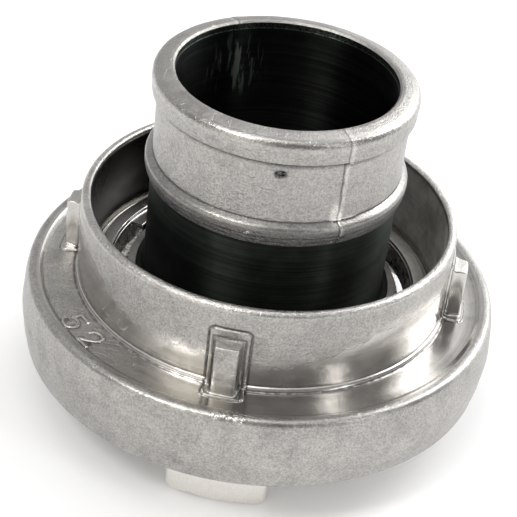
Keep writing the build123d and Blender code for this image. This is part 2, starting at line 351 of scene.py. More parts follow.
# The figures 5 and 2, as strokes in a box about one unit wide and high, with their places on the dish
FIGURES = (
    (-4.2, ((0.38, 0.48), (-0.28, 0.48), (-0.28, 0.48), (-0.28, 0.48), (-0.34, 0.04), (-0.34, 0.04), (-0.34, 0.04),
            (-0.05, 0.14), (0.25, 0.1), (0.4, -0.08), (0.38, -0.32), (0.15, -0.5), (-0.15, -0.5), (-0.4, -0.36))),
    (4.2, ((-0.38, 0.2), (-0.3, 0.42), (0.0, 0.54), (0.32, 0.46), (0.4, 0.22), (0.26, 0.0), (-0.38, -0.46),
           (-0.38, -0.46), (-0.38, -0.46), (0.42, -0.46))),
)
FIGURE_CENTRE_DEG = -136.0
FIGURE_R = 43.6
FIGURE_WIDTH, FIGURE_HEIGHT = 4.3, 4.7
STROKE_R, STROKE_RISE = 0.42, 0.3


def ring_inside_outline(sizes):
    """The ring's section from the outer dish round the rim, the hub and the land, up to the collar's top."""
    collar = sizes.collar_radius / MM
    rim = sizes.rim_radius / MM
    inside = collar - 2.0
    return [
        (44.2, DISH_Z, 0), (rim - 3.0, DISH_Z, 0.9), (rim - 2.35, RIM_Z, 0.35), (rim, RIM_Z, 1.3),
        (rim + 1.6, (FACE_Z + RIM_Z) / 2, 26.0), (rim, FACE_Z, 0.5), (COUNTERBORE_R, FACE_Z, 0.2),
        (COUNTERBORE_R, COUNTERBORE_Z, 0), (HUB_BORE_R, COUNTERBORE_Z, 0.2), (HUB_BORE_R, HUB_Z, 0.2),
        (SLEEVE_R, HUB_Z, 0), (SLEEVE_R, WEB_Z, 0.2), (LAND_R, WEB_Z, 0.3), (LAND_R, LAND_Z, 0.3),
        (34.9, LAND_Z, 0.3), (35.25, LAND_Z - 1.4, 0.3), (inside - 0.8, LAND_Z - 1.4, 0.4),
        (inside, COLLAR_TOP, 0.55), (collar, COLLAR_TOP, 1.1), (collar, WALL_TOP_Z, 0),
    ]


def collar_sections(sizes):
    """Sections of the collar's outside, alike point for point: the plain wall, the plinth and the spanner rib."""
    collar = sizes.collar_radius / MM
    tip = collar + sizes.rib_reach / MM
    wall, toe, top, step = collar + PLINTH_RISE, tip + TOE_REACH, RIB_TOP_Z, DISH_Z + PLINTH_RISE
    foot = WALL_FOOT_Z - 0.05
    edge = [(collar, WALL_TOP_Z, 0), (collar, PLINTH_TOP_Z, 0.12), (wall, PLINTH_TOP_Z - 0.16, 0.14),
            (wall, top + 1.1, 0)]
    toe_edge = [(toe + 0.1, step, 0), (toe + 0.3, step, 0.12), (toe + TOE_SLOPE, DISH_Z, 0.12),
                (DISH_END_R, DISH_Z, 0)]
    plain = (
        [(collar, WALL_TOP_Z, 0), (collar, top + 1.1, 0)],
        [(collar, top + 1.0, 0), (collar, top - 0.6, 0)],
        [(collar, top - 0.9, 0), (collar, WALL_FOOT_Z, 0)],
        [(collar, foot, 0), (collar, RIM_Z + 0.30, 0.12), (collar + 0.32, RIM_Z + 0.16, 0.1),
         (collar + 0.62, DISH_Z, 0.4), (toe, DISH_Z, 0)],
        [(toe + 0.1, DISH_Z, 0), (DISH_END_R, DISH_Z, 0)],
    )
    plinth = (
        edge,
        [(wall, top + 1.0, 0), (wall, top - 0.6, 0)],
        [(wall, top - 0.9, 0), (wall, WALL_FOOT_Z, 0)],
        [(wall, foot, 0), (wall + 0.05, step, 0.5), (toe, step, 0)],
        toe_edge,
    )
    rib = (
        edge,
        [(wall, top + 1.0, 0), (wall, top + 0.15, 0.8), (tip, top - 0.15, 0.5), (tip, top - 0.6, 0)],
        [(tip, top - 0.9, 0), (tip + 0.05, WALL_FOOT_Z, 0)],
        [(tip + 0.05, foot, 0), (tip + 0.06, step, 0.3), (toe, step, 0)],
        toe_edge,
    )
    return [np.vstack([spread_path(part, count) for part, count in zip(section, SECTION_POINTS)])
            for section in (plain, plinth, rib)]


def ring_step(middle):
    """Length of the ring's faces along its section: short on the cast outside, long inside."""
    return 0.8 if middle.x > 46 or middle.y > LAND_Z else 2.2


def ring_angles(half_width):
    """Angles of the ring's columns in degrees: even all round, and closer at the flanks of the ribs."""
    angles = set(np.round(np.arange(0, 360, 1.0), 3))
    columns = [x for x, _ in RIB_FLANK + PLINTH_EDGE] + list(PLINTH_COLUMNS)
    low, high = (math.degrees((half_width + x) / RIB_MIDDLE_R) for x in (-0.5, 2.1))
    for centre in RIB_DEG:
        angles = {a for a in angles if not low <= abs(angle_from(a, centre)) <= high}
        for offset in np.degrees(np.array([half_width + x for x in columns]) / RIB_MIDDLE_R):
            angles |= {round(float(centre + side * offset) % 360, 3) for side in (1, -1)}
    return np.array(sorted(angles))


def ring_rows(sizes, angles_deg):
    """The ring's outline at each angle: the plain section, raised to the plinths and the ribs."""
    half_width = sizes.rib_width / MM / 2
    inside = rounded_path(ring_inside_outline(sizes), False, ring_step)[1:-1]
    plain, plinth, ribbed = (np.vstack([inside, section]) for section in collar_sections(sizes))
    away = np.min([np.abs(angle_from(angles_deg, c)) for c in RIB_DEG], axis=0)
    beyond = np.radians(away) * RIB_MIDDLE_R - half_width
    rib_share = np.interp(beyond, *zip(*RIB_FLANK))[:, None, None]
    toe = (sizes.collar_radius + sizes.rib_reach) / MM + TOE_REACH + TOE_SLOPE
    over_top = np.clip(plinth[:, 1] - (PLINTH_TOP_Z - PLINTH_ROUND), 0, PLINTH_ROUND)
    over_toe = np.clip(plinth[:, 0] - (toe - PLINTH_ROUND), 0, PLINTH_ROUND) * (np.arange(len(plinth)) >= len(inside))
    drawn_in = PLINTH_ROUND - np.sqrt(PLINTH_ROUND ** 2 - np.maximum(over_top, over_toe) ** 2)
    plinth_share = np.interp(beyond[:, None] + drawn_in[None], *zip(*PLINTH_EDGE))[:, :, None]
    return plain[None] + plinth_share * (plinth - plain)[None] + rib_share * (ribbed - plinth)[None]


def ring_relief(mesh, casting_wave):
    """Heights in millimetres that the cast skin stands off the ring's even shape."""
    p, r, a, z = mesh_places(mesh)
    cast = ((r > 36.5) | (z > LAND_Z)).astype(float) * (z > FACE_Z + 0.3) * (z < COLLAR_TOP - 0.05)
    height = cast * (wave(p, 7.0, 1) * 0.7 + wave(p, 2.6, 2) * 0.3 - 0.9) * casting_wave / MM
    bruise = bump_at(angle_from(a, BRUISE_DEG), 0, 6.0) * bump_at(r, BRUISE_R, 1.2) * bump_at(z, BRUISE_Z, 1.0)
    pore = bump_at(angle_from(a, PORE_DEG), 0, 0.8) * bump_at(z, PORE_Z, 0.6) * (r > 48)
    patch = bump_at(angle_from(a, PATCH_DEG), 0, 7.0) * bump_at(z, PATCH_Z, 3.6) * (r > 48)
    return height + 0.3 * bruise * (0.3 + 0.9 * wave(p, 0.9, 3)) - 0.3 * pore + 0.12 * wave(p, 1.3, 8) * patch


def levels_block(name, centre_deg, inner_r, outer_r, outer_round, inner_round, levels):
    """Curved block whose rounded plan shrinks from level to level of (z, end inset, face inset)."""
    turn = math.radians(centre_deg)
    verts = []
    for z, end_in, face_in in levels:
        half = math.radians(CLAW_HALF_DEG) - end_in / outer_r
        low, high = inner_r + face_in, outer_r - face_in
        side = [(high - outer_round * (1 - math.cos(q)), half - outer_round / high * (1 - math.sin(q)))
                for q in quarter(6)[1:]]
        side += [(low + inner_round * (1 - math.sin(q)), half - inner_round / low * (1 - math.cos(q)))
                 for q in quarter(4)]
        steps = [2 * k / 14 - 1 for k in range(15)]
        plan = [(high, step * (half - outer_round / high)) for step in steps] + side
        plan += [(low, -step * (half - inner_round / low)) for step in steps[1:-1]]
        plan += [(r, -a) for r, a in reversed(side)]
        verts += [polar(r, turn + a, z) for r, a in plan]
    sides, ends = stack_faces(len(levels), len(plan))
    return mesh_from(name, np.array(verts) * MM, sides + ends)


def quarter(steps):
    """Angles of a quarter turn, evenly spaced, in radians."""
    return [math.pi / 2 * k / steps for k in range(steps + 1)]


def claw_mesh(centre_deg):
    """One claw: a curved block with rounded tip corners."""
    levels = [(z, 0.0, 0.0) for z in (FACE_Z + 1.0, FACE_Z + 0.5, FACE_Z - 0.6, 6.0, 3.0)]
    for z in (2.0, 1.5, 1.1, 0.75, 0.5, 0.3, 0.15, 0.05, 0.0):
        end, face = (min(size - math.sqrt(max(size ** 2 - max(size - z, 0) ** 2, 0)), size * most)
                     for size, most in ((CLAW_ROUND, 0.8), (CLAW_FACE_ROUND, 0.9)))
        levels.append((z, end, face))
    return levels_block("claw", centre_deg, CLAW_INNER_R, CLAW_OUTER_R, 1.6, 0.8, levels)


def hook_mesh(centre_deg):
    """The hook of a claw, which reaches towards the axis."""
    levels = [(4.4, 0, 0), (3.0, 0, 0), (0.5, 0, 0), (0.25, 0.1, 0.1), (0.0, 0.4, 0.35)]
    return levels_block("hook", centre_deg, HOOK_R, CLAW_INNER_R + 1.5, 0.5, 1.4, levels)


def ramp_low(turn):
    """Height of the ledge's sloping back at a radius and an angle."""
    half_deg = (RAMP_END_DEG - ENTRY_HALF_DEG) / 2
    middle = ENTRY_HALF_DEG + half_deg + turn
    run = (SLEEVE_R + LEDGE_R) * math.sin(math.radians(half_deg))

    def height(r, a):
        return RAMP_MIDDLE_Z + RAMP_RISE * r * math.sin(math.radians(a - middle)) / run

    return height


def window_meshes(turn):
    """The spaces of one claw window: its entry, its slot behind the ledge, the ledge's ramp and the opening above."""
    half, below = ENTRY_HALF_DEG, FACE_Z - 1.0
    start, end = turn + half - 1, turn + RAMP_END_DEG
    return [
        sector_mesh("entry", SLEEVE_R, SLOT_R, turn - half, turn + half, below, ROOF_Z),
        sector_mesh("slot", LEDGE_R, SLOT_R, start, end, below, ROOF_Z),
        sector_mesh("ramp", SLEEVE_R, LEDGE_R + 1, start, end, ramp_low(turn), ROOF_Z),
        sector_mesh("window", SLEEVE_R, LAND_R, turn - half, turn + WINDOW_END_DEG, ROOF_Z - 1, LAND_Z, WINDOW_LEAN),
    ]


def stroke_mesh(points, place):
    """Raised stroke of a figure with round ends along flat points, put in place by a matrix."""
    path = [Vector((x * FIGURE_WIDTH, y * FIGURE_HEIGHT)) for x, y in points]
    for _ in range(3):
        finer = [path[0]]
        for a, b in zip(path, path[1:]):
            finer += [a.lerp(b, 0.25), a.lerp(b, 0.75)]
        path = finer + [path[-1]]
    section = [(1, -1.0)] + [(math.cos(math.pi * k / 6), math.sin(math.pi * k / 6)) for k in range(7)] + [(-1, -1.0)]
    start, end = path[0], path[-1]
    ahead, back = (path[1] - start).normalized(), (path[-2] - end).normalized()
    rings = [(start - ahead * STROKE_R * 0.9, ahead, 0.3), (start - ahead * STROKE_R * 0.55, ahead, 0.8)]
    for i, p in enumerate(path):
        rings.append((p, (path[min(i + 1, len(path) - 1)] - path[max(i - 1, 0)]).normalized(), 1.0))
    rings += [(end - back * STROKE_R * 0.55, -back, 0.8), (end - back * STROKE_R * 0.9, -back, 0.3)]
    verts = []
    for p, run, share in rings:
        side = Vector((-run.y, run.x))
        for across, up in section:
            flat = p + side * (across * STROKE_R * share)
            height = up * STROKE_RISE * (share if up > 0 else 1)
            verts.append(tuple(place @ Vector((flat.x, flat.y, height)) * MM))
    sides, ends = stack_faces(len(rings), len(section))
    return mesh_from("figure", verts, ends + sides)


class OBJECT_OT_coupling_ring(bpy.types.Operator):
    """Makes the cast locking ring with its collar, ribs, claws and claw windows"""

    bl_idname = "object.coupling_ring"
    bl_label = "Locking ring"

    def execute(self, context):
        sizes = context.scene.coupling_ring
        angles_deg = ring_angles(sizes.rib_width / MM / 2)
        mesh = grid_mesh("locking_ring", ring_rows(sizes, angles_deg), np.radians(angles_deg))
        displace(mesh, ring_relief(mesh, sizes.casting_wave))
        ring = add_piece("locking_ring", mesh)
        for turn in (0, 180):
            for space in window_meshes(turn):
                cut_or_join(ring, space, "DIFFERENCE")
            for body in (claw_mesh(turn + 90), hook_mesh(turn + 90)):
                cut_or_join(ring, body, "UNION")
        for offset_deg, points in FIGURES:
            turn = Matrix.Rotation(math.radians(FIGURE_CENTRE_DEG + offset_deg), 4, "Z")
            place = turn @ Matrix.Translation((FIGURE_R, 0, DISH_Z)) @ Matrix.Rotation(math.pi / 2, 4, "Z")
            cut_or_join(ring, stroke_mesh(points, place), "UNION")
        smooth(ring.data)
        ring.data.materials.clear()
        ring.data.materials.append(cast_ring_material(context.scene.coupling_finish))
        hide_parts("lock_ring")
        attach(ring, "coupling_ring")
        return {"FINISHED"}


# ---------------------------------------------------------------- hose tail

# Heights and radii in millimetres, and angles in degrees from +X
FLANGE_R, FLANGE_Z = 28.0, 14.2
JOURNAL_R, JOURNAL_Z = 26.93, 28.55
SEAL_GROOVE_R, SEAL_GROOVE_Z = (23.8, 26.4), 14.4
SPRING_GROOVE_R, SPRING_GROOVE_Z = 25.43, (26.05, 27.55)
BEAD_Z = 53.05
NECK_Z = 56.95
LIP_Z = 70.45
# The two parting seams, the radius at which widths across them are taken, and how far a seam's marks lean upward
SEAM_DEG = (-54.0, 126.0)
SEAM_R = 26.0
FLARE_STRETCH = 0.45
# The blow hole under the lip
PIT_Z = 67.6
PIT_DEG = -82.4
PIT_R = 25.4
PIT_STRETCH = 1.6
# Radius inside which the tail's faces belong to the bore
BORE_FACE_R = 22.7


def tail_outline(sizes):
    """Section of the hose tail from the front flange round the tube, bead, neck and lip, and back down the bore."""
    bore = sizes.bore_radius / MM
    tube = sizes.tube_radius / MM
    bead = tube + 1.45
    lip = tube + 1.25
    return [
        (bore, TAIL_FACE, 0.4), (SEAL_GROOVE_R[0], TAIL_FACE, 0.15), (SEAL_GROOVE_R[0], SEAL_GROOVE_Z, 0),
        (SEAL_GROOVE_R[1], SEAL_GROOVE_Z, 0), (SEAL_GROOVE_R[1], TAIL_FACE, 0.15), (FLANGE_R, TAIL_FACE, 0.4),
        (FLANGE_R, FLANGE_Z, 0.2), (JOURNAL_R, FLANGE_Z, 0), (JOURNAL_R, SPRING_GROOVE_Z[0], 0),
        (SPRING_GROOVE_R, SPRING_GROOVE_Z[0], 0), (SPRING_GROOVE_R, SPRING_GROOVE_Z[1], 0),
        (JOURNAL_R, SPRING_GROOVE_Z[1], 0), (JOURNAL_R, JOURNAL_Z, 0.4), (tube, JOURNAL_Z, 0.6),
        (tube, BEAD_Z - 1.2, 0.2), (tube + 0.725, BEAD_Z - 0.9, 0.2), (tube + 0.725, BEAD_Z, 0.2),
        (bead - 0.3, BEAD_Z, 0.3), (bead - 0.22, BEAD_Z + 1.1, 0.08), (bead - 0.02, BEAD_Z + 1.25, 0.12),
        (bead, NECK_Z - 0.75, 1.1), (tube + 0.3, NECK_Z - 0.15, 0.12), (tube - 0.1, NECK_Z + 0.02, 0.12),
        (tube, NECK_Z + 0.5, 0), (tube, PIT_Z - 1.0, 0), (tube, PIT_Z + 1.0, 0), (tube, LIP_Z - 1.5, 0.5),
        (tube - 0.35, LIP_Z - 0.55, 0.5), (tube + 1.05, LIP_Z - 0.05, 0.2), (lip + 0.05, TAIL_TOP - 2.4, 3.0),
        (lip - 0.12, TAIL_TOP - 0.72, 1.5), (bore + 1.1, TAIL_TOP, 0.8), (bore + 0.42, TAIL_TOP - 0.02, 0.12),
        (bore + 0.02, TAIL_TOP - 0.42, 0.1), (bore + 0.12, TAIL_TOP - 1.6, 0), (bore, TAIL_TOP - 1.75, 0),
    ]


def tail_step(middle):
    """Length of the tail's faces along its section: short on the cast neck and shortest at its pit."""
    if middle.x < 24 or middle.y < BEAD_Z:
        return 3.0
    return 0.16 if abs(middle.y - PIT_Z) < 1.0 else 0.45


def tail_angles():
    """Angles of the tail's columns in degrees, closer at the two parting seams and at the pit."""
    angles = set(np.round(np.arange(0, 360, 1.0), 3))
    for centre in SEAM_DEG:
        angles |= {round(float(centre + offset) % 360, 3) for offset in np.arange(-4, 4.01, 0.25)}
    angles |= {round(float(PIT_DEG + offset) % 360, 3) for offset in np.arange(-4.2, 4.21, 0.3)}
    return np.array(sorted(angles))


def tail_relief(mesh, sizes):
    """Heights in millimetres of the cast skin, the parting seams and the blow hole over the tail's even shape."""
    p, r, a, z = mesh_places(mesh)
    cast = np.clip((z - 52.5) / 2, 0, 1) * (r > 25.0) * (z < TAIL_TOP - 0.1)
    height = cast * (wave(p, 6.0, 4) * 0.65 + wave(p, 2.2, 5) * 0.35 - 0.9) * sizes.casting_wave / MM
    level = np.column_stack([z, z * 0, z * 0])
    run = 0.8 + 0.4 * wave(level, 2.0, 6)
    wander = 0.35 * wave(level + (0, 9, 0), 5.0, 7)
    for centre in SEAM_DEG:
        beside = np.radians(angle_from(a, centre)) * SEAM_R - wander
        step = np.clip(beside / 0.35 + 0.5, 0, 1) * np.clip(1 - beside / 2.6, 0, 1)
        width = 0.4 + 2.2 * np.exp(-np.clip(z - NECK_Z - 0.3, 0, 20) / 3.0)
        foot = np.clip(1 + beside / width, 0, 1) * (beside < 0.2) * (width - 0.4) / 2.2 * (z > NECK_Z - 0.1)
        ledge = bump_at(beside, 2.6, 3.2) * bump_at(z, NECK_Z + 0.25, 0.6)
        height += cast * (z < LIP_Z) * (step * run * sizes.seam_height / MM + 0.45 * foot + 0.3 * ledge)
        flash = bump_at(beside, -0.8, 2.6) * bump_at(r, 25.9, 0.7) * (z > TAIL_TOP - 1.8)
        height += 0.16 * flash * (0.5 + 0.5 * wave(p, 0.7, 9))
    across = np.radians(angle_from(a, PIT_DEG)) * PIT_R
    ragged = 1 + 0.3 * wave(p, 0.5, 10)
    height -= 0.6 * bump_at(across * ragged, 0, 1.6) * bump_at((z - PIT_Z) * ragged, 0, 0.85) * (r > 25)
    return height + 0.35 * bump_at(across, 0.25, 0.4) * bump_at(z - PIT_Z, -0.05, 0.25) * (r > 24)


class OBJECT_OT_coupling_tail(bpy.types.Operator):
    """Makes the cast hose tail with its turned tube, bead, neck and rolled lip"""

    bl_idname = "object.coupling_tail"
    bl_label = "Hose tail"

    def execute(self, context):
        sizes, finish = context.scene.coupling_tail, context.scene.coupling_finish
        outline = rounded_path(tail_outline(sizes), True, tail_step)
        angles_deg = tail_angles()
        rows = np.repeat(outline[None], len(angles_deg), axis=0)
        mesh = grid_mesh("hose_tail_casting", rows, np.radians(angles_deg))
        displace(mesh, tail_relief(mesh, sizes))
        smooth(mesh)
        mesh.materials.append(cast_tail_material(finish))
        mesh.materials.append(turned_material(finish, "turned_tube", 1.0))
        # The bore is dimmed to 0.4 of the tube: painted shade inside it.
        mesh.materials.append(turned_material(finish, "turned_bore", 0.4))
        centres = np.array([face.center for face in mesh.polygons]) / MM
        away, level = np.hypot(centres[:, 0], centres[:, 1]), centres[:, 2]
        kind = np.where((away < BORE_FACE_R) & (level < TAIL_TOP - 0.5), 2, np.where(level < BEAD_Z - 0.95, 1, 0))
        mesh.polygons.foreach_set("material_index", kind.tolist())
        tail = add_piece("hose_tail_casting", mesh)
        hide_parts("hose_tail")
        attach(tail, "tail")
        return {"FINISHED"}


# ---------------------------------------------------------------- seal and spring ring


class OBJECT_OT_coupling_rings(bpy.types.Operator):
    """Gives the face seal and the spring ring their finishes"""

    bl_idname = "object.coupling_rings"
    bl_label = "Face seal and spring ring"

    def execute(self, context):
        finish = context.scene.coupling_finish
        for node, material in (("face_seal", rubber_material(finish)), ("retaining_ring", spring_material(finish))):
            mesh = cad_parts[node].data
            mesh.materials.clear()
            mesh.materials.append(material)
        return {"FINISHED"}


# ---------------------------------------------------------------- shared effects


class Value:
    """Number or vector that a node puts out, for use in plain sums."""

    def __init__(self, tree, socket):
        self.tree, self.socket = tree, socket

    def __add__(self, other):
        return self.tree.math("ADD", self, other)

    def __sub__(self, other):
        return self.tree.math("SUBTRACT", self, other)

    def __rsub__(self, other):
        return self.tree.math("SUBTRACT", other, self)

    def __mul__(self, other):
        return self.tree.math("MULTIPLY", self, other)

    def __truediv__(self, other):
        return self.tree.math("DIVIDE", self, other)

    def __abs__(self):
        return self.tree.math("ABSOLUTE", self)


class Tree:
    """Short way to add and link nodes of one tree."""

    def __init__(self, tree):
        self.tree = tree
        self.place = 0

    def add(self, kind, settings=None, **inputs):
        """New node; an input is given by its name, or as i0, i1 and so on by its number."""
        node = self.tree.nodes.new(kind)
        node.location = (self.place * 190, 0)
        self.place += 1
        for key, value in (settings or {}).items():
            setattr(node, key, value)
        for key, value in inputs.items():
            self.feed(node.inputs[int(key[1:]) if key[1:].isdigit() else key], value)
        return node

    def value(self, kind, settings=None, output=0, **inputs):
        return Value(self, self.add(kind, settings, **inputs).outputs[output])

    def feed(self, socket, value):
        value = value.socket if isinstance(value, Value) else value
        if isinstance(value, bpy.types.NodeSocket):
            self.tree.links.new(value, socket)
        else:
            socket.default_value = value

    def math(self, operation, a, b=0.5):
        return self.value("ShaderNodeMath", {"operation": operation}, i0=a, i1=b)

    def most(self, a, b):
        return self.math("MAXIMUM", a, b)

    def vector(self, operation, a, output=0, **inputs):
        return self.value("ShaderNodeVectorMath", {"operation": operation}, output, i0=a, **inputs)

    def scaled(self, vector, by):
        return self.vector("MULTIPLY", vector, i1=by)

    def noise(self, vector, scale, detail=2.0, rough=0.5):
        return self.value("ShaderNodeTexNoise", None, Vector=vector, Scale=scale, Detail=detail, Roughness=rough)

    def ramp(self, value, low, high, to_low=0.0, to_high=1.0, soft=True):
        kind = {"interpolation_type": "SMOOTHSTEP" if soft else "LINEAR", "clamp": True}
        return self.value("ShaderNodeMapRange", kind, i0=value, i1=low, i2=high, i3=to_low, i4=to_high)

    def fall(self, value, full, gone):
        """Mask that is full up to one value and gone from another."""
        return self.ramp(value, full, gone, 1.0, 0.0)

    def band(self, value, centre, full, gone):
        """Mask within a distance of a centre."""
        return self.fall(abs(value - centre), full, gone)

    def near(self, at, centre, full, gone):
        """Mask round a point."""
        return self.fall(self.vector("DISTANCE", at, "Value", i1=centre), full, gone)

    def mix(self, share, a, b):
        return self.value("ShaderNodeMix", {"data_type": "RGBA"}, 2, i0=share, i6=a, i7=b)

    def blend(self, share, a, b):
        return self.value("ShaderNodeMix", {"data_type": "FLOAT"}, i0=share, i2=a, i3=b)

    def tint(self, level, mask, factor):
        """A level, multiplied by a factor where a mask is full."""
        return level * self.blend(mask, 1.0, factor)

    def grey(self, level, colour):
        """A colour made lighter or darker by a level."""
        return self.scaled(self.value("ShaderNodeCombineXYZ", None, X=level, Y=level, Z=level), tuple(colour))

    def millimetres(self):
        """Object coordinates in millimetres."""
        return self.scaled(self.add("ShaderNodeTexCoord").outputs["Object"], (1 / MM, 1 / MM, 1 / MM))

    def places(self):
        """Object coordinates in millimetres, the distance from the axis, and the coordinates one by one."""
        at = self.millimetres()
        radius = self.vector("LENGTH", self.scaled(at, (1, 1, 0)), "Value")
        return at, radius, self.parts(at)

    def parts(self, vector):
        return {s.name: Value(self, s) for s in self.add("ShaderNodeSeparateXYZ", None, Vector=vector).outputs}

    def effect(self, name, **inputs):
        """Places a shared effect, which is made when first used, and gives its values by name."""
        group = bpy.data.node_groups.get(name) or new_group(name, *EFFECTS[name])
        return {s.name: Value(self, s) for s in self.add("ShaderNodeGroup", {"node_tree": group}, **inputs).outputs}


def new_group(name, fill, inputs, outputs):
    """Node group with float inputs of (name, default) and float outputs, filled by a function."""
    group = bpy.data.node_groups.new(name, "ShaderNodeTree")
    for label, default in inputs:
        socket = group.interface.new_socket(name=label, in_out="INPUT", socket_type="NodeSocketFloat")
        socket.default_value = default
    for label in outputs:
        group.interface.new_socket(name=label, in_out="OUTPUT", socket_type="NodeSocketFloat")
    tree = Tree(group)
    given = tree.add("NodeGroupInput").outputs
    out = tree.add("NodeGroupOutput")
    for label, value in zip(outputs, fill(tree, given)):
        tree.feed(out.inputs[label], value)
    return group


# How fast the lines of a lathe change round the axis
LINE_DRIFT = 0.02


def cast_grain(t, given):
    """Skin of a pressure casting: fine grain, soft mottling and broad clouds."""
    at = t.millimetres()
    fine = t.noise(at, 2.7, 2.0, 0.55)
    middle = t.noise(at, 1.05, 3.0, 0.6)
    height = fine * 0.7 + middle * 0.5
    tone = fine * 0.68 + middle * 0.32
    cloud = t.ramp(t.noise(at, 0.16, 3.0, 0.55), 0.35, 0.65)
    return height * given["Grain"], t.ramp(tone, 0.37, 0.63, soft=False), cloud


def wear_and_crease_shade(t, given):
    """Masks of worn convex edges and of painted shade in creases."""
    point = t.add("ShaderNodeNewGeometry").outputs["Pointiness"]
    broken = t.noise(t.millimetres(), 0.7, 3.0, 0.6)
    worn = t.ramp(point, given["Start"], given["Full"])
    creased = t.ramp(point, given["Crease Start"], given["Crease Full"])
    return worn * t.ramp(broken, 0.36, 0.6, 0.35, 1.0), creased * t.ramp(broken, 0.4, 0.62, 1.0, 0.5)


def turning_lines(t, given):
    """Fine lines left by a lathe, running round the axis."""
    _, radius, axes = t.places()
    along = (axes["Z"] + radius) / given["Pitch"]
    line = t.value("ShaderNodeCombineXYZ", None, X=along, Y=axes["X"] * LINE_DRIFT, Z=axes["Y"] * LINE_DRIFT)
    line = t.noise(line, 1.0, 2.0, 0.6)
    return line, t.ramp(line, 0.3, 0.7, soft=False)


def handling_marks(t, given):
    """Thin scratches and dull smudges from handling."""
    at = t.millimetres()
    a, b, c = (t.ramp(t.noise(t.scaled(at, stretch), 1.6, 1.0, 0.4), low, low + 0.03)
               for stretch, low in (((0.06, 1.1, 0.5), 0.66), ((1.0, 0.08, 0.6), 0.67), ((0.35, 0.5, 0.05), 0.66)))
    smudge = t.ramp(t.noise(at, 0.22, 4.0, 0.65), 0.5, 0.72)
    return t.most(t.most(a, b), c) * given["Amount"], smudge * given["Amount"]


EFFECTS = {
    "cast_grain": (cast_grain, [("Grain", 1.0)], ("Height", "Tone", "Cloud")),
    "wear_and_crease_shade": (wear_and_crease_shade, [("Start", 0.52), ("Full", 0.56), ("Crease Start", 0.49), ("Crease Full", 0.46)],
                  ("Mask", "Crease")),
    "turning_lines": (turning_lines, [("Pitch", 0.25)], ("Height", "Tone")),
    "handling_marks": (handling_marks, [("Amount", 1.0)], ("Scratch", "Smudge")),
}


# ---------------------------------------------------------------- materials

# Radius inside the collar's wall, the start of its crown, and half the reach of the painted light and shade across
# its inside
COLLAR_WALL_R = 38.2
CROWN_Z = 44.1
ACROSS_X = 26.0
# A bright burr on the front rib, the rough patch on the rim, and the middle of the painted sheen on the bore's far
# wall
BURR_AT, BURR_STRETCH = (0.8, -48.4, 38.3), (0.42, 1.0, 1.4)
PATCH_AT = (34.3, -36.1, PATCH_Z)
BORE_SHEEN_AT = (-13.5, 17.5, 66.0)
# Lines of painted shade in the creases round a plinth and round a rib: half width, top, corner radius and width of
# the line
CREASE_SHADE_LINES = ((4.3, PLINTH_TOP_Z + 0.1, 1.3, 0.34), (3.3, RIB_TOP_Z + 0.45, 0.5, 0.3))
# Sideways shift of the front rib for each millimetre from the axis
FRONT_RIB_LEAN = 0.02094
GRAIN_DEPTH, RIDGE_DEPTH = 0.0004, 0.001


def new_material(name):
    material = bpy.data.materials.new(name)
    material.use_nodes = True
    material.node_tree.nodes.clear()
    tree = Tree(material.node_tree)
    shader = tree.add("ShaderNodeBsdfPrincipled")
    out = tree.add("ShaderNodeOutputMaterial")
    tree.feed(out.inputs["Surface"], shader.outputs[0])
    return material, tree, shader


def feed_shader(tree, shader, colour, rough, relief, depth=GRAIN_DEPTH, metallic=1.0):
    """Gives a shader its colour, its roughness and a relief of the given depth in metres."""
    tree.feed(shader.inputs["Base Color"], colour)
    tree.feed(shader.inputs["Roughness"], rough)
    shader.inputs["Metallic"].default_value = metallic
    bump = tree.value("ShaderNodeBump", None, Height=relief, Distance=depth, Strength=1.0)
    tree.feed(shader.inputs["Normal"], bump)


def rib_crease_shade(t, axes, radius):
    """Mask of the painted shade in the creases round the plinths of the ribs and round the ribs themselves, on the
    collar's wall.
    """
    lean = t.most(axes["Y"] * -1.0, 0.0) * FRONT_RIB_LEAN
    beside = t.math("MINIMUM", abs(axes["Y"]), abs(axes["X"] + lean))
    lines = []
    for side, top, corner, width in CREASE_SHADE_LINES:
        across = t.most(beside - (side - corner), 0.0)
        above = t.most(axes["Z"] - (top - corner), 0.0)
        lines.append(t.band(t.math("SQRT", across * across + above * above), corner, 0.05, width))
    return t.most(*lines) * (t.ramp(radius, 38.6, 38.8) * t.fall(radius, 39.9, 40.6))


